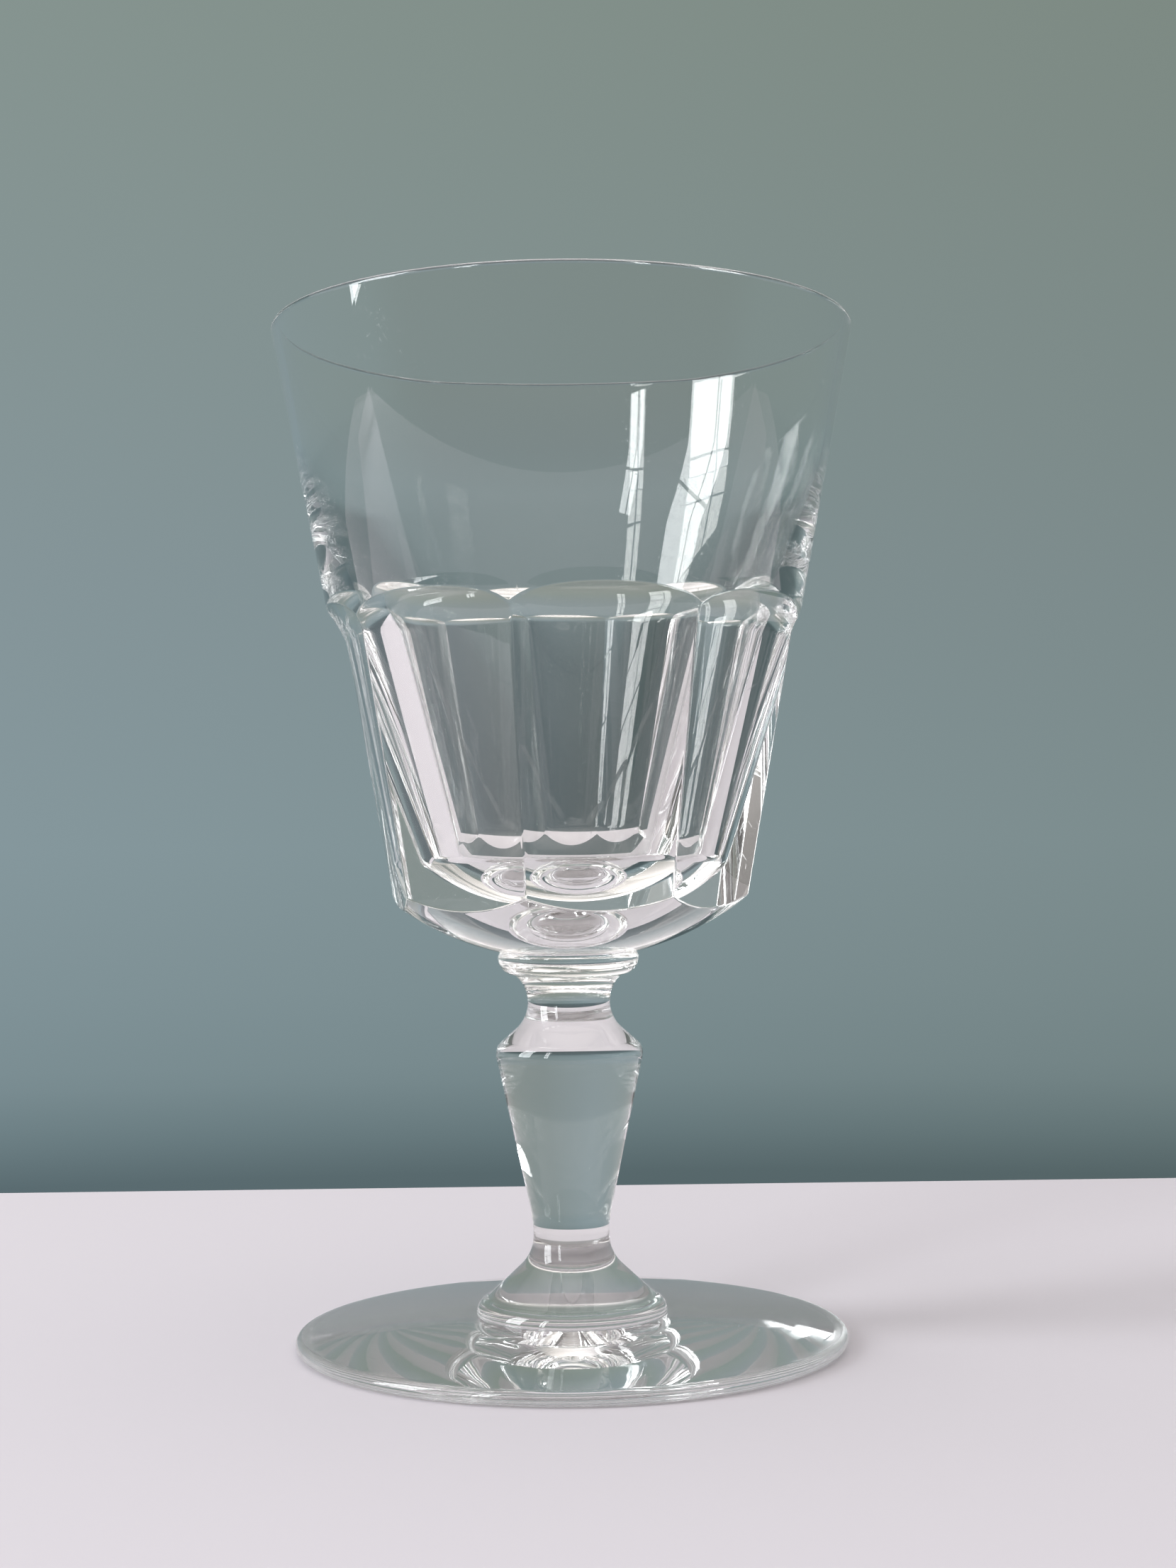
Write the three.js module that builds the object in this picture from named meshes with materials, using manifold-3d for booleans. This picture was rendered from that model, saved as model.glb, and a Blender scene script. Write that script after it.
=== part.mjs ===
// A stemmed crystal wine glass with a flat-cut bowl, standing on its foot.
// Millimetres, +Z up. The origin is at the centre of the foot's underside.
// The glass is four gathers of crystal joined end to end on one axis:
// foot, stem, collar and bowl. Each gather is a separate solid, and neighbours meet on a flat disc.

import * as THREE from "three";
import { mergeVertices } from "three/addons/utils/BufferGeometryUtils.js";
import Module from "manifold-3d";

const wasm = await Module();
wasm.setup();

// Heights of the whole glass and of the flat discs where its gathers join
const TOTAL_HEIGHT = 150;
const BOWL_JOINT_Z = 57.6;
const COLLAR_JOINT_Z = 50.1;
const FOOT_JOINT_Z = 15.8;

// Bowl: a straight cone outside; inside, a wall beside it that bends inwards below, with a round floor;
// a domed underside
const RIM_RADIUS = 43;
const RIM_WALL = 1.2;
const OUTER_TAPER = 0.189; // radius gained per millimetre of height
const INNER_TAPER = 0.375; // below the bend
const INNER_BEND_Z = 127;
const INNER_BEND_RADIUS = 100;
const CAVITY_FLOOR_Z = 66.5;
const CAVITY_SPHERE = 29;
const CAVITY_FILLET = 2.5;
const UNDERSIDE_SPHERE = 43;
const UNDERSIDE_EDGE_Z = 66;

// Flat cuts around the lower bowl, each ending upwards in a scoop left by the edge of the wheel
const PANELS = 8;
const SCOOP_START_Z = 103.3;
const SCOOP_RADIUS = 7;
const PANEL_TAPER = 0.165;
const ARRIS_DEPTH = 0.5; // how far below the cone two neighbouring cuts meet, at the scoop
const CUTTER_MARGIN = 5; // how far the cut reaches beyond the glass

// Collar under the bowl
const COLLAR_RADIUS = 10.45;
const COLLAR_ROUNDING = 0.9;
const COLLAR_LIP_RADIUS = 7.8;
const COLLAR_LIP_Z = 54.1;

// Stem: a concave neck, a rounded shoulder, a long taper and an eased lower neck
const NECK_RADIUS = 6.1;
const NECK_COVE = 5.2;
const STEM_COVE_END = 8;
const SHOULDER_Z = 42.5;
const SHOULDER_RADIUS = 10.9;
const SHOULDER_ROUNDING = 2.3;
const SHOULDER_SLOPE = THREE.MathUtils.degToRad(52.2);
const STEM_TAPER = 0.216;
const LOWER_NECK_RADIUS = 5.62;
const LOWER_NECK_EASE = 16;

// Foot: a flared pedestal with a bead round its base, on a disc that thins towards its rounded edge
const FOOT_RADIUS = 40.6;
const DISC_EDGE_THICKNESS = 2.2;
const DISC_INNER_THICKNESS = 4.4;
const DISC_POWER = 1.3; // 1 is a straight cone, and more is a crowned one
const PEDESTAL_COVE = 6.2;
const PEDESTAL_FLARE = Math.PI / 4;
const BEAD_RADIUS = 14.1;
const BEAD_ROUNDING = 2.3;
const BEAD_Z = 4.6;
const BEAD_TOP = THREE.MathUtils.degToRad(75);

// Fineness of the round surfaces
const BOWL_SEGMENTS = 80;
const STEM_SEGMENTS = 40;
const FOOT_SEGMENTS = 64;
const FINE_STEPS = 10;
const CURVE_STEPS = 7;
const SMALL_STEPS = 4;
const RIM_STEPS = 6; // even, so that one point is at the very top
const MERGE_DISTANCE = 1e-4;

const outerRadius = (z) => RIM_RADIUS - OUTER_TAPER * (TOTAL_HEIGHT - z);
const innerBendR = outerRadius(INNER_BEND_Z) - RIM_WALL;
const innerRadius = (z) => innerBendR - INNER_TAPER * (INNER_BEND_Z - z);

const crystal = new THREE.MeshStandardMaterial({
  color: 0xe9eeee,
  roughness: 0.03,
  metalness: 0,
  transparent: true,
  opacity: 0.35,
});

// Points of a circular arc in the half plane of radius and height. Angles are in radians.
function arc(centreR, centreZ, radius, from, to, steps) {
  const points = [];
  for (let i = 0; i <= steps; i += 1) {
    const angle = from + ((to - from) * i) / steps;
    points.push([centreR + radius * Math.cos(angle), centreZ + radius * Math.sin(angle)]);
  }
  return points;
}

// Revolves a list of [radius, height] points about +Z. The list starts and ends on the axis.
function revolve(points, segments) {
  const profile = points.map(([r, z]) => new THREE.Vector2(r, z));
  const geometry = new THREE.LatheGeometry(profile, segments);
  return geometry.rotateX(Math.PI / 2);
}

function toSolid(geometry) {
  const bare = geometry.clone();
  bare.deleteAttribute("normal");
  bare.deleteAttribute("uv");
  const merged = mergeVertices(bare, MERGE_DISTANCE);
  return new wasm.Manifold(
    new wasm.Mesh({
      numProp: 3,
      vertProperties: merged.attributes.position.array,
      triVerts: new Uint32Array(merged.index.array),
    }),
  );
}

function toGeometry(solid) {
  const mesh = solid.getMesh();
  const geometry = new THREE.BufferGeometry();
  geometry.setAttribute("position", new THREE.BufferAttribute(mesh.vertProperties, 3));
  geometry.setIndex(new THREE.BufferAttribute(mesh.triVerts, 1));
  geometry.computeVertexNormals();
  return geometry;
}

// The arc where the cavity's wall leaves the outside's taper for its own, downwards.
function cavityBend() {
  const upperAngle = Math.atan(OUTER_TAPER);
  const lowerAngle = Math.atan(INNER_TAPER);
  const middle = (upperAngle + lowerAngle) / 2;
  const reach = INNER_BEND_RADIUS / Math.cos((lowerAngle - upperAngle) / 2);
  const centreR = innerBendR - reach * Math.cos(middle);
  const centreZ = INNER_BEND_Z + reach * Math.sin(middle);
  return arc(centreR, centreZ, INNER_BEND_RADIUS, -upperAngle, -lowerAngle, SMALL_STEPS);
}

// The round floor and the fillet that joins it to the cavity's wall, from the wall to the axis.
function cavityFloor() {
  const wallAngle = Math.atan(INNER_TAPER);
  const centreZ = CAVITY_FLOOR_Z + CAVITY_SPHERE;
  const filletOrbit = CAVITY_SPHERE - CAVITY_FILLET;
  const filletAxisR = innerRadius(0) - CAVITY_FILLET / Math.cos(wallAngle);
  // The fillet's centre is on a line beside the wall and on a circle inside the floor
  const a = 1 + INNER_TAPER ** 2;
  const b = INNER_TAPER * filletAxisR - centreZ;
  const c = filletAxisR ** 2 + centreZ ** 2 - filletOrbit ** 2;
  const filletZ = (-b - Math.sqrt(b ** 2 - a * c)) / a;
  const filletR = filletAxisR + INNER_TAPER * filletZ;
  const floorAngle = Math.atan2(filletZ - centreZ, filletR);
  const fillet = arc(filletR, filletZ, CAVITY_FILLET, -wallAngle, floorAngle, SMALL_STEPS);
  const floor = arc(0, centreZ, CAVITY_SPHERE, floorAngle, -Math.PI / 2, CURVE_STEPS);
  return [...fillet, ...floor.slice(1, -1), [0, CAVITY_FLOOR_Z]];
}

// The uncut bowl: joint disc, domed underside, outer cone, rounded rim, bent inner wall, round floor.
function bowlBlank() {
  const edgeRadius = outerRadius(UNDERSIDE_EDGE_Z);
  const rise = Math.sqrt(UNDERSIDE_SPHERE ** 2 - edgeRadius ** 2);
  const sphereZ = UNDERSIDE_EDGE_Z + rise;
  const jointAngle = Math.asin((BOWL_JOINT_Z - sphereZ) / UNDERSIDE_SPHERE);
  const edgeAngle = Math.asin(-rise / UNDERSIDE_SPHERE);
  const dome = arc(0, sphereZ, UNDERSIDE_SPHERE, jointAngle, edgeAngle, CURVE_STEPS);
  const lip = RIM_WALL / 2;
  const rim = arc(RIM_RADIUS - lip, TOTAL_HEIGHT - lip, lip, 0, Math.PI, RIM_STEPS);
  const profile = [[0, BOWL_JOINT_Z], ...dome, ...rim, ...cavityBend(), ...cavityFloor()];
  return toSolid(revolve(profile, BOWL_SEGMENTS));
}

// The space that one flat cut clears: everything outside the panel's plane,
// up to the scoop where the wheel's rounded edge leaves the glass. Its outward side is +X.
function panelCutter() {
  const apothem = outerRadius(SCOOP_START_Z) * Math.cos(Math.PI / PANELS) - ARRIS_DEPTH;
  const tilt = Math.atan(PANEL_TAPER);
  const centreR = apothem + SCOOP_RADIUS * Math.cos(tilt);
  const centreZ = SCOOP_START_Z - SCOOP_RADIUS * Math.sin(tilt);
  const below = BOWL_JOINT_Z - CUTTER_MARGIN;
  const outside = RIM_RADIUS + CUTTER_MARGIN;
  const scoop = arc(centreR, centreZ, SCOOP_RADIUS, Math.PI - tilt, Math.PI / 2, FINE_STEPS);
  const outline = [
    [apothem - PANEL_TAPER * (SCOOP_START_Z - below), below],
    [outside, below],
    [outside, centreZ + SCOOP_RADIUS],
    ...scoop.reverse(),
  ];
  const shape = new THREE.Shape(outline.map(([r, z]) => new THREE.Vector2(r, z)));
  const width = 2 * RIM_RADIUS;
  const cutter = new THREE.ExtrudeGeometry(shape, { depth: width, bevelEnabled: false });
  cutter.translate(0, 0, -width / 2);
  return cutter.rotateX(Math.PI / 2);
}

function bowlGeometry() {
  let bowl = bowlBlank();
  for (let i = 0; i < PANELS; i += 1) {
    const cutter = panelCutter().rotateZ((2 * Math.PI * i) / PANELS);
    bowl = bowl.subtract(toSolid(cutter));
  }
  return toGeometry(bowl);
}

// The angle on the concave neck's arc between its narrowest point and a wider radius.
function neckAngle(radius) {
  return Math.acos((NECK_RADIUS + NECK_COVE - radius) / NECK_COVE);
}

// A disc with a rounded rim, and under it a short cove down to the neck.
function collarGeometry() {
  const upperR = COLLAR_RADIUS - COLLAR_ROUNDING;
  const upperZ = BOWL_JOINT_Z - COLLAR_ROUNDING;
  const upper = arc(upperR, upperZ, COLLAR_ROUNDING, Math.PI / 2, 0, SMALL_STEPS);
  const lowerRounding = BOWL_JOINT_Z - COLLAR_LIP_Z - COLLAR_ROUNDING;
  const lowerR = COLLAR_RADIUS - lowerRounding;
  const lowerZ = COLLAR_LIP_Z + lowerRounding;
  const lower = arc(lowerR, lowerZ, lowerRounding, 0, -Math.PI / 2, CURVE_STEPS);
  const coveStart = Math.PI - neckAngle(COLLAR_LIP_RADIUS);
  const coveR = NECK_RADIUS + NECK_COVE;
  const cove = arc(coveR, COLLAR_JOINT_Z, NECK_COVE, coveStart, Math.PI, CURVE_STEPS);
  const downwards = [
    [0, BOWL_JOINT_Z],
    ...upper,
    ...lower.slice(1),
    ...cove,
    [0, COLLAR_JOINT_Z],
  ];
  return revolve(downwards.reverse(), STEM_SEGMENTS);
}

// The baluster: neck cove, sloping shoulder, rounded widest point, long straight taper, lower neck.
function stemGeometry() {
  const coveEnd = Math.PI + neckAngle(STEM_COVE_END);
  const coveR = NECK_RADIUS + NECK_COVE;
  const cove = arc(coveR, COLLAR_JOINT_Z, NECK_COVE, Math.PI, coveEnd, CURVE_STEPS);
  const taper = Math.atan(STEM_TAPER);
  const shoulderR = SHOULDER_RADIUS - SHOULDER_ROUNDING;
  const shoulder = arc(shoulderR, SHOULDER_Z, SHOULDER_ROUNDING, SHOULDER_SLOPE, -taper, FINE_STEPS);
  const [taperR, taperZ] = shoulder[shoulder.length - 1];
  const easeR = LOWER_NECK_RADIUS + LOWER_NECK_EASE;
  const easeTopR = easeR - LOWER_NECK_EASE * Math.cos(taper);
  const easeTopZ = taperZ - (taperR - easeTopR) / STEM_TAPER;
  const easeZ = easeTopZ - LOWER_NECK_EASE * Math.sin(taper);
  const ease = arc(easeR, easeZ, LOWER_NECK_EASE, Math.PI - taper, Math.PI, SMALL_STEPS);
  const downwards = [
    [0, COLLAR_JOINT_Z],
    ...cove,
    ...shoulder,
    ...ease,
    [LOWER_NECK_RADIUS, FOOT_JOINT_Z],
    [0, FOOT_JOINT_Z],
  ];
  return revolve(downwards.reverse(), STEM_SEGMENTS);
}

// The disc's crowned upper face between the bead and the rounded edge, without its two ends.
function discTop(innerR, outerR) {
  const points = [];
  for (let i = 1; i < CURVE_STEPS; i += 1) {
    const share = i / CURVE_STEPS;
    const drop = (DISC_INNER_THICKNESS - DISC_EDGE_THICKNESS) * share ** DISC_POWER;
    points.push([innerR + (outerR - innerR) * share, DISC_INNER_THICKNESS - drop]);
  }
  return points;
}

// The pedestal and the disc in one gather.
function footGeometry() {
  const coveR = LOWER_NECK_RADIUS + PEDESTAL_COVE;
  const coveEnd = Math.PI + PEDESTAL_FLARE;
  const cove = arc(coveR, FOOT_JOINT_Z, PEDESTAL_COVE, Math.PI, coveEnd, CURVE_STEPS);
  const undercut = Math.asin((BEAD_Z - DISC_INNER_THICKNESS) / BEAD_ROUNDING);
  const beadR = BEAD_RADIUS - BEAD_ROUNDING;
  const bead = arc(beadR, BEAD_Z, BEAD_ROUNDING, BEAD_TOP, -undercut, CURVE_STEPS);
  const [discR] = bead[bead.length - 1];
  const edge = DISC_EDGE_THICKNESS / 2;
  const rimR = FOOT_RADIUS - edge;
  const rim = arc(rimR, edge, edge, Math.PI / 2, -Math.PI / 2, FINE_STEPS);
  const disc = discTop(discR, rimR);
  const downwards = [[0, FOOT_JOINT_Z], ...cove, ...bead, ...disc, ...rim, [0, 0]];
  return revolve(downwards.reverse(), FOOT_SEGMENTS);
}

const glass = new THREE.Group();
glass.name = "wine_glass";

const gathers = {
  bowl: bowlGeometry(),
  collar: collarGeometry(),
  stem: stemGeometry(),
  foot: footGeometry(),
};

for (const [name, geometry] of Object.entries(gathers)) {
  const mesh = new THREE.Mesh(geometry, crystal);
  mesh.name = name;
  glass.add(mesh);
}

export default glass;
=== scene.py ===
import math

import bpy
from mathutils import Matrix, Vector


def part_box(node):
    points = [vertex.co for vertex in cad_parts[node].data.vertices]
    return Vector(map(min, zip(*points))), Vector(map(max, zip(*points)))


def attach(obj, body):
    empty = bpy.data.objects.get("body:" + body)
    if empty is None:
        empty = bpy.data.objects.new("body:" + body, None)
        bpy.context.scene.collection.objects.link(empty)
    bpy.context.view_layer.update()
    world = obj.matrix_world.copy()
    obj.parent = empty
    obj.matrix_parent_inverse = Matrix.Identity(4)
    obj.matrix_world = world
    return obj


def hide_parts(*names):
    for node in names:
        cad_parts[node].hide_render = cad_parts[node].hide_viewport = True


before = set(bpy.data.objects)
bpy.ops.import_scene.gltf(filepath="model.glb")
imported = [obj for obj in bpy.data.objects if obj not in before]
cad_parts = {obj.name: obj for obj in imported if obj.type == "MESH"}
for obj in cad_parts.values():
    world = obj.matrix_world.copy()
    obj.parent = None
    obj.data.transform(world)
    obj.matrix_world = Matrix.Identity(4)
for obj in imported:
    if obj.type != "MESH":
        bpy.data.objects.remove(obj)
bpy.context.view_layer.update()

MM = 0.001
TAU = 2 * math.pi
ON_AXIS = 1e-9
JUST_UNDER = 1e-6
HALVINGS = 50

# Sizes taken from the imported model
BOWL_LOW, BOWL_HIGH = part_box("bowl")
COLLAR_LOW, COLLAR_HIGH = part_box("collar")
STEM_LOW, STEM_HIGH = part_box("stem")
FOOT_LOW, FOOT_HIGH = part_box("foot")
TOTAL_HEIGHT = BOWL_HIGH.z
RIM_RADIUS = BOWL_HIGH.x
BOWL_JOINT_Z = BOWL_LOW.z
COLLAR_JOINT_Z = COLLAR_LOW.z
FOOT_JOINT_Z = STEM_LOW.z
COLLAR_RADIUS = COLLAR_HIGH.x
SHOULDER_RADIUS = STEM_HIGH.x
FOOT_RADIUS = FOOT_HIGH.x

# Bowl: a straight cone outside; inside a wall beside it, which bends inwards below; a domed underside
RIM_WALL = 1.2 * MM
OUTER_TAPER = 0.189
INNER_TAPER = 0.375
INNER_BEND_Z = 127 * MM
INNER_BEND_RADIUS = 100 * MM
CAVITY_FLOOR_Z = 66.5 * MM
CAVITY_FILLET = 2.5 * MM
CAVITY_SPHERE = 29 * MM
UNDERSIDE_SPHERE = 43 * MM
UNDERSIDE_EDGE_Z = 66 * MM

# Flat cuts around the lower bowl, each ending upwards in a scoop
PANELS = 8
SCOOP_START_Z = 103.3 * MM
SCOOP_RADIUS = 7 * MM
PANEL_TAPER = 0.165
ARRIS_DEPTH = 0.5 * MM
EDGE_SOFTNESS = 0.2 * MM

# The bowl's mesh: columns in half a panel, the last ones at these shares of its half angle, and the
# steps between the fixed heights of its rings. Both lie closer together beside a crease.
PANEL_COLUMNS = 12
ARRIS_SHARES = (0.96, 0.975, 0.99)
CREASE_MARGIN = 0.25 * MM
RING_STEPS = (14, 4, 16, 8, 6, 20)

# Collar, stem and foot
COLLAR_ROUNDING = 0.9 * MM
COLLAR_LIP_RADIUS = 7.8 * MM
COLLAR_LIP_Z = 54.1 * MM
NECK_RADIUS = 6.1 * MM
NECK_COVE = 5.2 * MM
SHOULDER_Z = 42.5 * MM
SHOULDER_ROUNDING = 2.3 * MM
SHOULDER_SLOPE = math.radians(52.2)
STEM_COVE_END = 8 * MM
STEM_TAPER = 0.216
LOWER_NECK_RADIUS = 5.62 * MM
LOWER_NECK_EASE = 16 * MM
DISC_EDGE_THICKNESS = 2.2 * MM
DISC_INNER_THICKNESS = 4.4 * MM
DISC_POWER = 1.3
PEDESTAL_COVE = 6.2 * MM
PEDESTAL_FLARE = math.radians(45)
BEAD_RADIUS = 14.1 * MM
BEAD_ROUNDING = 2.3 * MM
BEAD_Z = 4.6 * MM
BEAD_TOP = math.radians(75)
STEM_COLUMNS = 96
FOOT_COLUMNS = 144

# Crystal: tint, and the sizes and depths of its small marks
CRYSTAL_TINT = (0.99, 0.985, 0.97)
CRYSTAL_IOR = 1.54
WAVE_SIZE = (9 * MM, 9 * MM, 26 * MM)
WAVE_HEIGHT = 0.012 * MM
PATCH_SIZE = (17 * MM, 17 * MM, 17 * MM)
SCRATCH_SIZE = (0.35 * MM, 0.35 * MM, 9 * MM)
SCRATCH_TURNS = [(0.3, 0.2, 0.0), (1.1, -0.6, 0.4)]
SCRATCH_ROUGHNESS = 0.16
PATCH_CREST = (0.48, 0.62)
SCRATCH_CREST = (0.76, 0.8)
WORN_RADIUS = FOOT_RADIUS - 2.5 * MM
WORN_HEIGHT = 0.4 * MM
WORN_ROUGHNESS = 0.2

# Camera, measured from the glass's axis and its foot
CAMERA_AZIMUTH = math.radians(-10.1)
CAMERA_DISTANCE = 0.3413
CAMERA_HEIGHT = 0.0734
CAMERA_PITCH = 0.026
CAMERA_YAW = 0.0094
CAMERA_ROLL = -0.0115
CAMERA_LENS = 52.75
CAMERA_SENSOR = 36.0

# Table, measured from the glass's axis, with a thin gap of air under the foot
TABLE_BEHIND = 0.155
TABLE_FRONT = 0.21
TABLE_SIDE = 2.0
TABLE_THICKNESS = 0.03
TABLE_COLOUR = (0.68, 0.645, 0.69)
TABLE_ROUGHNESS = 0.9
TABLE_SPECULAR = 0.1
AIR_GAP = 0.1 * MM

# Light. Each window is its azimuth in degrees and the widths of its panes.
WINDOWS = [(-36.5, (0.07, 0.1)), (-75, (0.2, 0.4))]
WINDOW_DISTANCE = 1.6
WINDOW_SILL = 0.1
PANE_HEIGHT = 0.33
PANE_ROWS = 4
PANE_BAR = 0.022
WINDOW_STRENGTH = 11
WINDOW_COLOUR = (0.95, 0.98, 1.0)

# The wall and the room. A colour's height is that of its direction, from -1 below to 1 above.
WALL_EDGE = (-0.5, -0.1)
LEFT_SHADE = (1.07, 1.05, 1.07)
RIGHT_SHADE = (0.93, 0.9, 0.87)
SHADE_REACH = 0.25
# Below the horizon the wall colours darken towards the table edge: painted shade, a shadow band along
# the foot of the wall.
WALL_COLOURS = [
    (-0.2, (0.075, 0.11, 0.12)),
    (-0.14, (0.098, 0.144, 0.156)),
    (-0.122, (0.138, 0.198, 0.212)),
    (-0.098, (0.184, 0.254, 0.27)),
    (-0.062, (0.202, 0.275, 0.292)),
    (0.0, (0.22, 0.296, 0.314)),
    (0.118, (0.22, 0.287, 0.3)),
    (0.34, (0.223, 0.283, 0.262)),
    (0.6, (0.24, 0.28, 0.27)),
    (0.8, (0.9, 0.89, 0.88)),
    (1.0, (1.9, 1.87, 1.84)),
]
ROOM_COLOURS = [
    (-0.2, (0.06, 0.06, 0.06)),
    (0.0, (0.13, 0.125, 0.12)),
    (0.5, (0.22, 0.21, 0.2)),
    (0.75, (0.7, 0.69, 0.68)),
    (1.0, (1.9, 1.87, 1.84)),
]

# Light runs a long way inside the rim and the foot's disc
BOUNCES = 128


# Profiles. A profile runs from the axis at the bottom, outwards, up and back to the axis.
# Each point is (radius, height, normal radius, normal height), and glass lies on its left.
def arc(centre_r, centre_z, radius, start, end, steps):
    side = 1 if end > start else -1
    points = []
    for i in range(steps + 1):
        angle = start + (end - start) * i / steps
        c, s = math.cos(angle), math.sin(angle)
        points.append((centre_r + radius * c, centre_z + radius * s, side * c, side * s))
    return points


def line(start, end, steps):
    dr, dz = end[0] - start[0], end[1] - start[1]
    length = math.hypot(dr, dz)
    normal = (dz / length, -dr / length)
    return [
        (start[0] + dr * i / steps, start[1] + dz * i / steps, *normal)
        for i in range(steps + 1)
    ]


def crown(start, end, steps, power):
    """From start to end, outwards. The slope grows with that power of the way. Normals point down."""
    points = []
    for i in range(steps + 1):
        share = i / steps
        slope = power * (end[1] - start[1]) / (end[0] - start[0]) * share ** (power - 1)
        size = math.hypot(1, slope)
        r = start[0] + (end[0] - start[0]) * share
        z = start[1] + (end[1] - start[1]) * share**power
        points.append((r, z, slope / size, -1 / size))
    return points


def backwards(curve):
    return [(r, z, -nr, -nz) for r, z, nr, nz in reversed(curve)]


def start_of(curve):
    return curve[0][:2]


def end_of(curve):
    return curve[-1][:2]


def ring(point, columns):
    r, z, nr, nz = point
    return [
        (Vector((r * math.cos(a), r * math.sin(a), z)), Vector((nr * math.cos(a), nr * math.sin(a), nz)))
        for a in columns
    ]


def turned(curve, columns):
    return [ring(point, columns) for point in curve]


def skin(name, bands, columns, weld_bands):
    """One closed mesh from bands of rings. Neighbouring bands share a ring, and meet in a crease.

    The bands numbered in weld_bands are the joint faces, which carry the second material.
    """
    count = len(columns)
    vertices, faces, normals, materials = [], [], [], []
    last = None
    for number, band in enumerate(bands):
        indices = []
        for level, rung in enumerate(band):
            if level == 0 and last is not None:
                indices.append(last)
                continue
            first = len(vertices)
            if math.hypot(rung[0][0].x, rung[0][0].y) < ON_AXIS:
                vertices.append(rung[0][0])
                indices.append([first] * count)
            else:
                vertices.extend(p for p, _ in rung)
                indices.append(list(range(first, first + count)))
        for level in range(len(band) - 1):
            low, high = indices[level], indices[level + 1]
            for i in range(count):
                j = (i + 1) % count
                corners = [
                    (low[i], band[level][i][1]),
                    (low[j], band[level][j][1]),
                    (high[j], band[level + 1][j][1]),
                    (high[i], band[level + 1][i][1]),
                ]
                if low[i] == low[j]:
                    corners.pop(1)
                elif high[i] == high[j]:
                    corners.pop(2)
                faces.append([c[0] for c in corners])
                normals.extend(c[1] for c in corners)
                materials.append(1 if number in weld_bands else 0)
        last = indices[-1]
    mesh = bpy.data.meshes.new(name)
    mesh.from_pydata(vertices, [], faces)
    mesh.polygons.foreach_set("use_smooth", [True] * len(faces))
    mesh.polygons.foreach_set("material_index", materials)
    mesh.normals_split_custom_set([n.normalized() for n in normals])
    mesh.update()
    piece = bpy.data.objects.new(name, mesh)
    bpy.context.scene.collection.objects.link(piece)
    return piece


def spread(count):
    return [TAU * i / count for i in range(count)]


# The cut outside of the bowl
LIP = RIM_WALL / 2
LIP_R, LIP_Z = RIM_RADIUS - LIP, TOTAL_HEIGHT - LIP
OUTER_ANGLE = math.atan(OUTER_TAPER)
INNER_ANGLE = math.atan(INNER_TAPER)
CONE_TOP_R = LIP_R + LIP * math.cos(OUTER_ANGLE)
CONE_TOP_Z = LIP_Z - LIP * math.sin(OUTER_ANGLE)
PANEL_HALF = math.pi / PANELS


def cone_radius(z):
    return CONE_TOP_R - OUTER_TAPER * (CONE_TOP_Z - z)


DOME_Z = UNDERSIDE_EDGE_Z + math.sqrt(UNDERSIDE_SPHERE**2 - cone_radius(UNDERSIDE_EDGE_Z) ** 2)


def dome_radius(z):
    return math.sqrt(max(0.0, UNDERSIDE_SPHERE**2 - (z - DOME_Z) ** 2)) if z < DOME_Z else 1.0


PANEL_APOTHEM = cone_radius(SCOOP_START_Z) * math.cos(PANEL_HALF) - ARRIS_DEPTH
PANEL_ANGLE = math.atan(PANEL_TAPER)
SCOOP_R = PANEL_APOTHEM + SCOOP_RADIUS * math.cos(PANEL_ANGLE)
SCOOP_Z = SCOOP_START_Z - SCOOP_RADIUS * math.sin(PANEL_ANGLE)


def panel_apothem(z):
    if z <= SCOOP_START_Z:
        return PANEL_APOTHEM - PANEL_TAPER * (SCOOP_START_Z - z)
    if z >= SCOOP_Z + SCOOP_RADIUS:
        return 1.0
    return SCOOP_R - math.sqrt(SCOOP_RADIUS**2 - (z - SCOOP_Z) ** 2)


def softest(a, b):
    """The smaller of two radii, with the crease between them rounded off."""
    gap = max(EDGE_SOFTNESS - abs(a - b), 0.0) / EDGE_SOFTNESS
    return min(a, b) - gap * gap * EDGE_SOFTNESS / 4


def cut_radius(angle, z):
    """Radius of the bowl's outside at an angle from the middle of the nearest panel."""
    apothem = panel_apothem(z)
    near = apothem / math.cos(angle)
    side = apothem / math.cos(2 * PANEL_HALF - abs(angle))
    return softest(softest(softest(near, side), cone_radius(z)), dome_radius(z))


def crossing(f, low, high):
    """Where f changes sign between low and high."""
    below = f(low) < 0
    for _ in range(HALVINGS):
        middle = (low + high) / 2
        if (f(middle) < 0) == below:
            low = middle
        else:
            high = middle
    return (low + high) / 2


def stops(fixed, counts):
    """Heights between the fixed ones, with that many steps in each gap."""
    levels = [fixed[0]]
    for low, high, steps in zip(fixed, fixed[1:], counts):
        levels.extend(low + (high - low) * i / steps for i in range(1, steps + 1))
    return levels


def outer_levels(angle):
    """Heights of the rings of one column, with rings close together at the two creases."""
    slope = 1 / math.cos(angle)
    scoop_top = SCOOP_Z + SCOOP_RADIUS

    def dome_gap(z):
        return dome_radius(z) - panel_apothem(z) * slope

    def cone_gap(z):
        return panel_apothem(z) * slope - cone_radius(z)

    foot = crossing(dome_gap, BOWL_JOINT_Z, UNDERSIDE_EDGE_Z + 2 * MM)
    top = crossing(cone_gap, SCOOP_START_Z, scoop_top - JUST_UNDER)
    near, far = CREASE_MARGIN, 2 * CREASE_MARGIN
    fixed = [BOWL_JOINT_Z, foot - near, foot + near, SCOOP_START_Z, top - far, top + far, CONE_TOP_Z]
    return stops(fixed, RING_STEPS)


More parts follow.
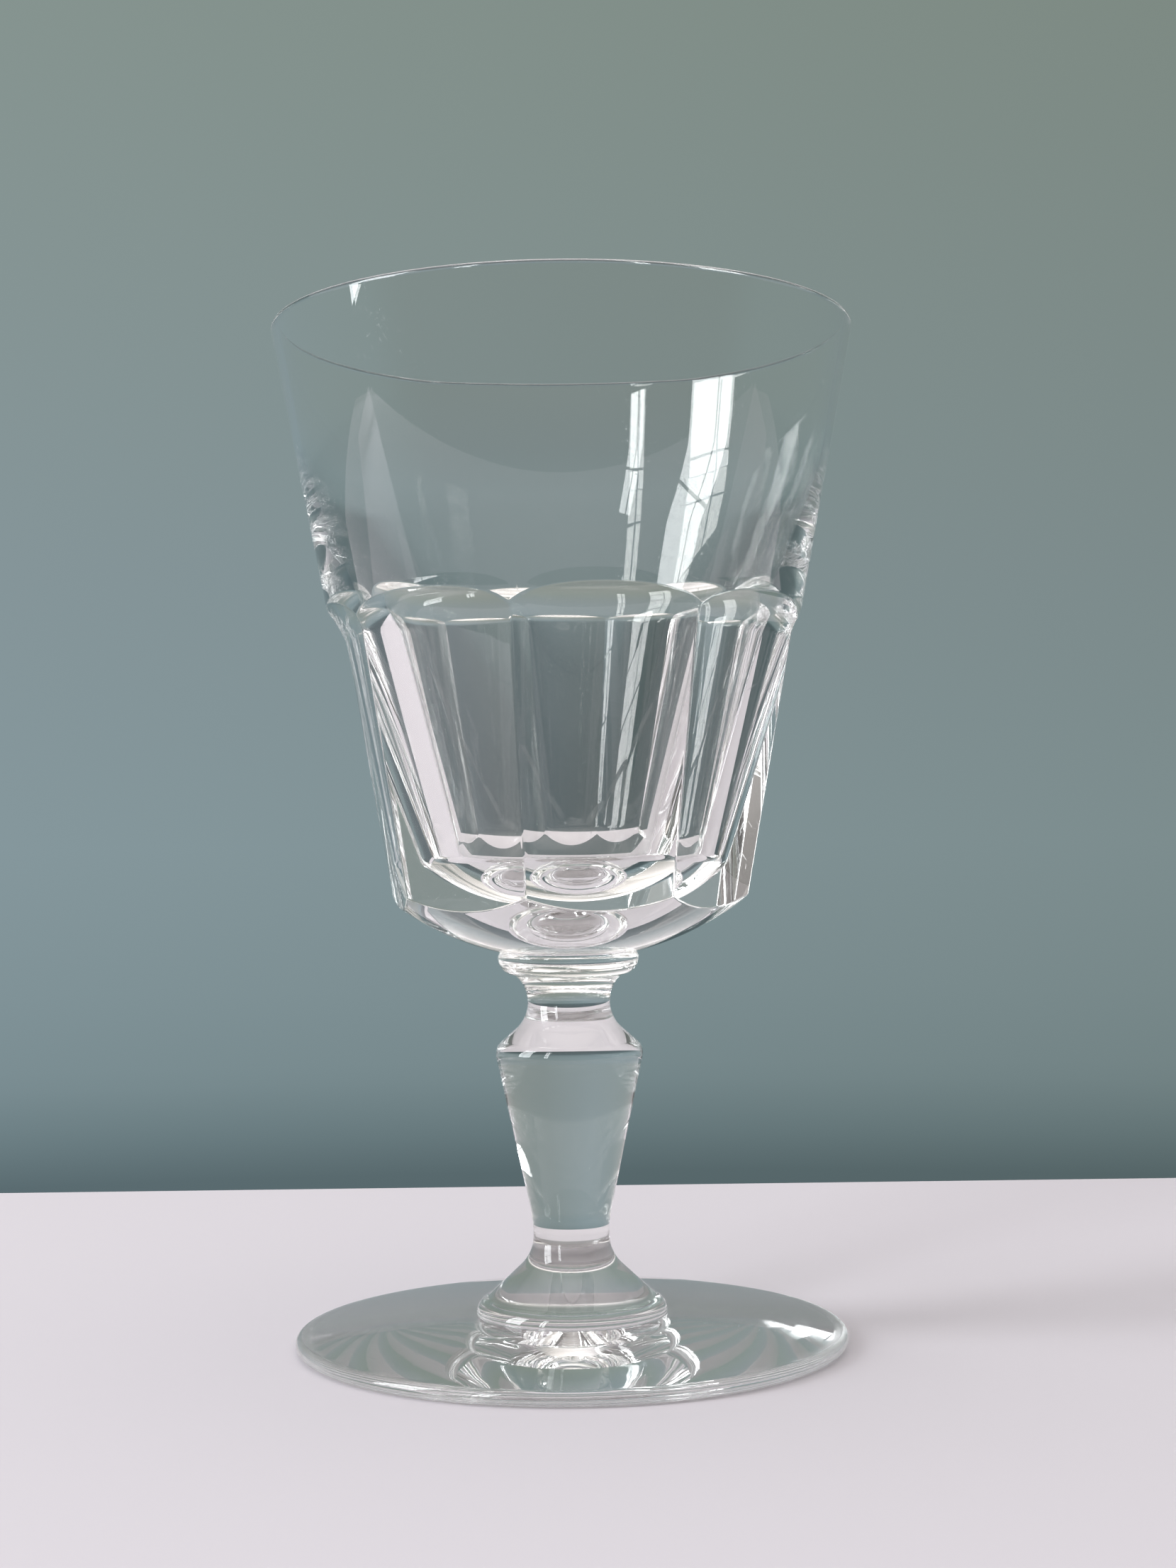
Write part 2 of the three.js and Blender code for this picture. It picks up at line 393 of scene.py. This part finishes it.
def outer_columns():
    """Each column's azimuth, and its angle from the middle of its panel."""
    half = [PANEL_HALF * i / PANEL_COLUMNS * ARRIS_SHARES[0] for i in range(PANEL_COLUMNS)]
    half += [PANEL_HALF * share for share in ARRIS_SHARES]
    offsets = [-PANEL_HALF] + [-a for a in reversed(half) if a > 0] + half
    middles = [TAU * i / PANELS for i in range(PANELS)]
    return [(middle + offset, offset) for middle in middles for offset in offsets]


def outer_band(columns):
    levels = {offset: outer_levels(offset) for _, offset in columns}
    tiny = 0.01 * MM
    turn = 1e-3
    band = []
    for row in range(len(levels[0.0])):
        rung = []
        for azimuth, offset in columns:
            z = levels[offset][row]
            r = cut_radius(offset, z)
            by_z = (cut_radius(offset, z + tiny) - cut_radius(offset, z - tiny)) / (2 * tiny)
            by_angle = (cut_radius(offset + turn, z) - cut_radius(offset - turn, z)) / (2 * turn)
            c, s = math.cos(azimuth), math.sin(azimuth)
            normal = Vector((c, s, 0)) - Vector((-s, c, 0)) * (by_angle / r) - Vector((0, 0, by_z))
            rung.append((Vector((r * c, r * s, z)), normal.normalized()))
        band.append(rung)
    return band


def cavity_curves():
    """The rim and the cavity, from the outside's top to the middle of the floor."""
    rim = arc(LIP_R, LIP_Z, LIP, -OUTER_ANGLE, math.pi - OUTER_ANGLE, steps=16)
    top_r, top_z = end_of(rim)
    bend_r = top_r - OUTER_TAPER * (top_z - INNER_BEND_Z)
    middle = -(OUTER_ANGLE + INNER_ANGLE) / 2
    reach = INNER_BEND_RADIUS / math.cos((INNER_ANGLE - OUTER_ANGLE) / 2)
    centre = (bend_r - reach * math.cos(middle), INNER_BEND_Z - reach * math.sin(middle))
    bend = arc(*centre, INNER_BEND_RADIUS, -OUTER_ANGLE, -INNER_ANGLE, steps=16)
    sphere_z = CAVITY_FLOOR_Z + CAVITY_SPHERE

    def fillet_radius(z):
        """Radius of the centre of a fillet that touches the wall from this height."""
        return bend_r - INNER_TAPER * (INNER_BEND_Z - z) - CAVITY_FILLET / math.cos(INNER_ANGLE)

    def fillet_gap(z):
        """How far that fillet is from touching the floor."""
        return math.hypot(fillet_radius(z), z - sphere_z) - (CAVITY_SPHERE - CAVITY_FILLET)

    fillet_z = crossing(fillet_gap, CAVITY_FLOOR_Z, sphere_z)
    fillet_r = fillet_radius(fillet_z)
    floor_angle = math.atan2(fillet_z - sphere_z, fillet_r)
    fillet = arc(fillet_r, fillet_z, CAVITY_FILLET, -INNER_ANGLE, floor_angle, steps=16)
    floor = arc(0, sphere_z, CAVITY_SPHERE, floor_angle, -math.pi / 2, steps=24)
    upper_wall = line(end_of(rim), start_of(bend), steps=8)
    lower_wall = line(end_of(bend), start_of(fillet), steps=20)
    return [rim, upper_wall, bend, lower_wall, fillet, floor]


def make_bowl():
    columns = outer_columns()
    azimuths = [azimuth for azimuth, _ in columns]
    joint = line((0, BOWL_JOINT_Z), (cut_radius(0.0, BOWL_JOINT_Z), BOWL_JOINT_Z), steps=2)
    bands = [turned(joint, azimuths), outer_band(columns)]
    bands += [turned(curve, azimuths) for curve in cavity_curves()]
    return skin("crystal_bowl", bands, azimuths, weld_bands={0})


def make_lathe(name, curves, count, weld_bands):
    columns = spread(count)
    return skin(name, [turned(c, columns) for c in curves], columns, weld_bands)


def neck_angle(radius):
    """The angle on the neck's cove between its narrowest point and a wider radius."""
    return math.acos((NECK_RADIUS + NECK_COVE - radius) / NECK_COVE)


def make_collar():
    cove_r = NECK_RADIUS + NECK_COVE
    cove_end = math.pi - neck_angle(COLLAR_LIP_RADIUS)
    cove = arc(cove_r, COLLAR_JOINT_Z, NECK_COVE, math.pi, cove_end, steps=10)
    rounding = BOWL_JOINT_Z - COLLAR_LIP_Z - COLLAR_ROUNDING
    lip = arc(COLLAR_RADIUS - rounding, COLLAR_LIP_Z + rounding, rounding, -math.pi / 2, 0, steps=16)
    upper_r = COLLAR_RADIUS - COLLAR_ROUNDING
    upper_z = BOWL_JOINT_Z - COLLAR_ROUNDING
    upper = arc(upper_r, upper_z, COLLAR_ROUNDING, 0, math.pi / 2, steps=10)
    curves = [
        line((0, COLLAR_JOINT_Z), (NECK_RADIUS, COLLAR_JOINT_Z), steps=1),
        cove,
        line(end_of(cove), start_of(lip), steps=1),
        lip,
        upper,
        line(end_of(upper), (0, BOWL_JOINT_Z), steps=1),
    ]
    return make_lathe("crystal_collar", curves, STEM_COLUMNS, weld_bands={0, len(curves) - 1})


def make_stem():
    taper = -math.atan(STEM_TAPER)
    shoulder_r = SHOULDER_RADIUS - SHOULDER_ROUNDING
    shoulder = arc(shoulder_r, SHOULDER_Z, SHOULDER_ROUNDING, taper, SHOULDER_SLOPE, steps=20)
    cove_r = NECK_RADIUS + NECK_COVE
    cove_start = math.pi + neck_angle(STEM_COVE_END)
    cove = arc(cove_r, COLLAR_JOINT_Z, NECK_COVE, cove_start, math.pi, steps=14)
    ease_r = LOWER_NECK_RADIUS + LOWER_NECK_EASE
    taper_r, taper_z = start_of(shoulder)
    ease_end_r = ease_r - LOWER_NECK_EASE * math.cos(taper)
    ease_top_z = taper_z - (taper_r - ease_end_r) / STEM_TAPER
    ease_z = ease_top_z + LOWER_NECK_EASE * math.sin(taper)
    ease = arc(ease_r, ease_z, LOWER_NECK_EASE, math.pi, math.pi + taper, steps=10)
    neck_foot = (LOWER_NECK_RADIUS, FOOT_JOINT_Z)
    curves = [
        line((0, FOOT_JOINT_Z), neck_foot, steps=1),
        line(neck_foot, start_of(ease), steps=2),
        ease,
        line(end_of(ease), (taper_r, taper_z), steps=16),
        shoulder,
        line(end_of(shoulder), start_of(cove), steps=3),
        cove,
        line(end_of(cove), (0, COLLAR_JOINT_Z), steps=1),
    ]
    return make_lathe("crystal_stem", curves, STEM_COLUMNS, weld_bands={0, len(curves) - 1})


def make_foot():
    edge = DISC_EDGE_THICKNESS / 2
    rim = arc(FOOT_RADIUS - edge, edge, edge, -math.pi / 2, math.pi / 2, steps=20)
    undercut = math.asin((BEAD_Z - DISC_INNER_THICKNESS) / BEAD_ROUNDING)
    bead_r = BEAD_RADIUS - BEAD_ROUNDING
    bead = arc(bead_r, BEAD_Z, BEAD_ROUNDING, -undercut, BEAD_TOP, steps=14)
    top = backwards(crown(start_of(bead), end_of(rim), steps=24, power=DISC_POWER))
    cove_r = LOWER_NECK_RADIUS + PEDESTAL_COVE
    cove_start = math.pi + PEDESTAL_FLARE
    cove = arc(cove_r, FOOT_JOINT_Z, PEDESTAL_COVE, cove_start, math.pi, steps=16)
    curves = [
        line((0, 0), start_of(rim), steps=8),
        rim,
        top,
        bead,
        line(end_of(bead), start_of(cove), steps=3),
        cove,
        line(end_of(cove), (0, FOOT_JOINT_Z), steps=1),
    ]
    return make_lathe("crystal_foot", curves, FOOT_COLUMNS, weld_bands={len(curves) - 1})


def noise(nodes, links, place, size, detail):
    """Noise from 0 to 1, in lumps of about that size. The longest of its three sizes draws it out."""
    mapping = nodes.new("ShaderNodeMapping")
    mapping.inputs["Scale"].default_value = [1 / length for length in size]
    links.new(place, mapping.inputs["Vector"])
    texture = nodes.new("ShaderNodeTexNoise")
    texture.inputs["Scale"].default_value = 1.0
    texture.inputs["Detail"].default_value = detail
    links.new(mapping.outputs["Vector"], texture.inputs["Vector"])
    return texture.outputs["Fac"]


def remap(nodes, links, value, source, target):
    node = nodes.new("ShaderNodeMapRange")
    node.inputs["From Min"].default_value, node.inputs["From Max"].default_value = source
    node.inputs["To Min"].default_value, node.inputs["To Max"].default_value = target
    links.new(value, node.inputs["Value"])
    return node.outputs["Result"]


def combined(nodes, links, operation, a, b):
    node = nodes.new("ShaderNodeMath")
    node.operation = operation
    links.new(a, node.inputs[0])
    links.new(b, node.inputs[1])
    return node.outputs[0]


def scratches(nodes, links, place):
    """Roughness of fine lines in a few directions, in patches. A line is a crest of drawn-out noise."""
    patches = noise(nodes, links, place, PATCH_SIZE, 2)
    depth = remap(nodes, links, patches, PATCH_CREST, (0, SCRATCH_ROUGHNESS))
    roughness = None
    for turn in SCRATCH_TURNS:
        rotation = nodes.new("ShaderNodeMapping")
        rotation.inputs["Rotation"].default_value = turn
        links.new(place, rotation.inputs["Vector"])
        grain = noise(nodes, links, rotation.outputs["Vector"], SCRATCH_SIZE, 0)
        lines = remap(nodes, links, grain, SCRATCH_CREST, (0, 1))
        lines = combined(nodes, links, "MULTIPLY", lines, depth)
        roughness = lines if roughness is None else combined(nodes, links, "MAXIMUM", roughness, lines)
    return roughness


def worn_ring(nodes, links, place):
    """Roughness of the ring on which the foot stands."""
    split = nodes.new("ShaderNodeSeparateXYZ")
    links.new(place, split.inputs[0])
    low = remap(nodes, links, split.outputs["Z"], (WORN_HEIGHT, 0), (0, 1))
    flat = nodes.new("ShaderNodeCombineXYZ")
    links.new(split.outputs["X"], flat.inputs["X"])
    links.new(split.outputs["Y"], flat.inputs["Y"])
    reach = nodes.new("ShaderNodeVectorMath")
    reach.operation = "LENGTH"
    links.new(flat.outputs[0], reach.inputs[0])
    band = (WORN_RADIUS, WORN_RADIUS + WORN_HEIGHT)
    outer = remap(nodes, links, reach.outputs["Value"], band, (0, WORN_ROUGHNESS))
    return combined(nodes, links, "MULTIPLY", low, outer)


def crystal_material():
    """Clear lead crystal, faintly wavy from the hot work, with fine scratches and a worn ring."""
    material = bpy.data.materials.new("lead_crystal")
    material.use_nodes = True
    nodes, links = material.node_tree.nodes, material.node_tree.links
    shader = nodes["Principled BSDF"]
    shader.inputs["Base Color"].default_value = (*CRYSTAL_TINT, 1)
    shader.inputs["Transmission Weight"].default_value = 1.0
    shader.inputs["IOR"].default_value = CRYSTAL_IOR
    place = nodes.new("ShaderNodeTexCoord").outputs["Object"]

    waves = nodes.new("ShaderNodeBump")
    waves.inputs["Strength"].default_value = 1.0
    waves.inputs["Distance"].default_value = WAVE_HEIGHT
    links.new(noise(nodes, links, place, WAVE_SIZE, 1), waves.inputs["Height"])
    links.new(waves.outputs["Normal"], shader.inputs["Normal"])

    fine, worn = scratches(nodes, links, place), worn_ring(nodes, links, place)
    links.new(combined(nodes, links, "MAXIMUM", fine, worn), shader.inputs["Roughness"])
    return material


def weld_material():
    """Fully transparent, for the joint faces inside the glass."""
    material = bpy.data.materials.new("crystal_weld")
    material.use_nodes = True
    shader = material.node_tree.nodes["Principled BSDF"]
    shader.inputs["Alpha"].default_value = 0.0
    return material


def table_material():
    material = bpy.data.materials.new("table_linen")
    material.use_nodes = True
    shader = material.node_tree.nodes["Principled BSDF"]
    shader.inputs["Base Color"].default_value = (*TABLE_COLOUR, 1)
    shader.inputs["Roughness"].default_value = TABLE_ROUGHNESS
    shader.inputs["Specular IOR Level"].default_value = TABLE_SPECULAR
    return material


def make_camera():
    turn = Matrix.Rotation(CAMERA_AZIMUTH, 3, "Z")
    level = math.cos(CAMERA_PITCH)
    ahead = Vector((math.sin(CAMERA_YAW) * level, math.cos(CAMERA_YAW) * level, math.sin(CAMERA_PITCH)))
    right = Vector((math.cos(CAMERA_YAW), -math.sin(CAMERA_YAW), 0))
    up = right.cross(ahead)
    c, s = math.cos(CAMERA_ROLL), math.sin(CAMERA_ROLL)
    right, up = c * right + s * up, c * up - s * right
    matrix = Matrix([turn @ v for v in (right, up, -ahead)]).transposed().to_4x4()
    matrix.translation = turn @ Vector((0, -CAMERA_DISTANCE, CAMERA_HEIGHT))
    data = bpy.data.cameras.new("camera")
    data.lens = CAMERA_LENS
    data.sensor_width = CAMERA_SENSOR
    data.clip_start = 0.01
    camera = bpy.data.objects.new("camera", data)
    camera.matrix_world = matrix
    bpy.context.scene.collection.objects.link(camera)
    bpy.context.scene.camera = camera


def make_table():
    corners = [
        (-TABLE_SIDE, -TABLE_FRONT),
        (TABLE_SIDE, -TABLE_FRONT),
        (TABLE_SIDE, TABLE_BEHIND),
        (-TABLE_SIDE, TABLE_BEHIND),
    ]
    low = [(x, y, -TABLE_THICKNESS) for x, y in corners]
    high = [(x, y, -AIR_GAP) for x, y in corners]
    faces = [(3, 2, 1, 0), (4, 5, 6, 7), (0, 1, 5, 4), (1, 2, 6, 5), (2, 3, 7, 6), (3, 0, 4, 7)]
    mesh = bpy.data.meshes.new("table")
    mesh.from_pydata(low + high, [], faces)
    mesh.materials.append(table_material())
    table = bpy.data.objects.new("table", mesh)
    table.rotation_euler.z = CAMERA_AZIMUTH
    bpy.context.scene.collection.objects.link(table)


def toward(azimuth, elevation):
    """A direction from the glass. Azimuth is measured from the camera, to the right as it sees it."""
    a = CAMERA_AZIMUTH + math.radians(azimuth)
    e = math.radians(elevation)
    return Vector((math.sin(a) * math.cos(e), -math.cos(a) * math.cos(e), math.sin(e)))


def dot(nodes, links, vector, axis):
    node = nodes.new("ShaderNodeVectorMath")
    node.operation = "DOT_PRODUCT"
    links.new(vector, node.inputs[0])
    node.inputs[1].default_value = axis
    return node.outputs["Value"]


def colour_of(mix):
    return next(output for output in mix.outputs if output.type == "RGBA")


def gradient(nodes, links, height, colours):
    """Colours by the height of the direction, from straight down at -1 to straight up at 1."""
    ramp = nodes.new("ShaderNodeValToRGB")
    links.new(remap(nodes, links, height, (-1, 1), (0, 1)), ramp.inputs["Fac"])
    elements = ramp.color_ramp.elements
    elements.remove(elements[1])
    for i, (level, colour) in enumerate(colours):
        element = elements[0] if i == 0 else elements.new((level + 1) / 2)
        element.position = (level + 1) / 2
        element.color = (*colour, 1)
    return ramp.outputs["Color"]


def make_world():
    """A muted wall behind the glass, and a plain neutral room on the camera's side."""
    world = bpy.data.worlds.new("studio")
    bpy.context.scene.world = world
    world.use_nodes = True
    nodes, links = world.node_tree.nodes, world.node_tree.links
    direction = nodes.new("ShaderNodeTexCoord").outputs["Generated"]
    split = nodes.new("ShaderNodeSeparateXYZ")
    links.new(direction, split.inputs[0])

    share = nodes.new("ShaderNodeMapRange")
    share.interpolation_type = "SMOOTHSTEP"
    share.inputs["From Min"].default_value, share.inputs["From Max"].default_value = WALL_EDGE
    links.new(dot(nodes, links, direction, -toward(0, 0)), share.inputs["Value"])
    mix = nodes.new("ShaderNodeMix")
    mix.data_type = "RGBA"
    links.new(share.outputs["Result"], mix.inputs["Factor"])
    links.new(gradient(nodes, links, split.outputs["Z"], ROOM_COLOURS), mix.inputs["A"])
    # The wall gradient carries the painted shadow band near the table edge.
    links.new(gradient(nodes, links, split.outputs["Z"], WALL_COLOURS), mix.inputs["B"])

    shade = nodes.new("ShaderNodeMix")
    shade.data_type = "RGBA"
    shade.inputs["A"].default_value = (*LEFT_SHADE, 1)
    shade.inputs["B"].default_value = (*RIGHT_SHADE, 1)
    across = dot(nodes, links, direction, toward(90, 0))
    side = remap(nodes, links, across, (-SHADE_REACH, SHADE_REACH), (0, 1))
    links.new(side, shade.inputs["Factor"])
    shaded = nodes.new("ShaderNodeVectorMath")
    shaded.operation = "MULTIPLY"
    links.new(colour_of(mix), shaded.inputs[0])
    links.new(colour_of(shade), shaded.inputs[1])
    links.new(shaded.outputs[0], nodes["Background"].inputs["Color"])


def pane_corners():
    """The corners of every pane, in fours."""
    corners = []
    for azimuth, widths in WINDOWS:
        away = toward(azimuth, 0)
        side = Vector((-away.y, away.x, 0))
        right = -(sum(widths) + PANE_BAR * (len(widths) - 1)) / 2 - PANE_BAR
        for width in widths:
            left = right + PANE_BAR
            right = left + width
            for row in range(PANE_ROWS):
                low = WINDOW_SILL + row * (PANE_HEIGHT + PANE_BAR)
                high = low + PANE_HEIGHT
                for x, z in ((left, low), (right, low), (right, high), (left, high)):
                    corners.append(away * WINDOW_DISTANCE + side * x + Vector((0, 0, z)))
    return corners


def make_windows():
    """Two tall soft lights to the camera's left, each divided into panes by bars."""
    material = bpy.data.materials.new("window_light")
    material.use_nodes = True
    shader = material.node_tree.nodes["Principled BSDF"]
    shader.inputs["Base Color"].default_value = (0, 0, 0, 1)
    shader.inputs["Emission Color"].default_value = (*WINDOW_COLOUR, 1)
    shader.inputs["Emission Strength"].default_value = WINDOW_STRENGTH
    corners = pane_corners()
    faces = [(i, i + 1, i + 2, i + 3) for i in range(0, len(corners), 4)]
    mesh = bpy.data.meshes.new("window_panes")
    mesh.from_pydata(corners, [], faces)
    mesh.materials.append(material)
    panes = bpy.data.objects.new("window_panes", mesh)
    panes.visible_camera = False
    bpy.context.scene.collection.objects.link(panes)


def render_settings():
    scene = bpy.context.scene
    scene.view_settings.view_transform = "Standard"
    scene.cycles.max_bounces = BOUNCES
    scene.cycles.transmission_bounces = BOUNCES
    scene.cycles.glossy_bounces = BOUNCES
    scene.cycles.transparent_max_bounces = BOUNCES
    scene.cycles.use_denoising = True


crystal = crystal_material()
weld = weld_material()
makers = {"bowl": make_bowl, "collar": make_collar, "stem": make_stem, "foot": make_foot}
for node, make in makers.items():
    piece = make()
    piece.data.materials.append(crystal)
    piece.data.materials.append(weld)
    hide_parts(node)
    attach(piece, "root")

make_camera()
make_table()
make_world()
make_windows()
render_settings()
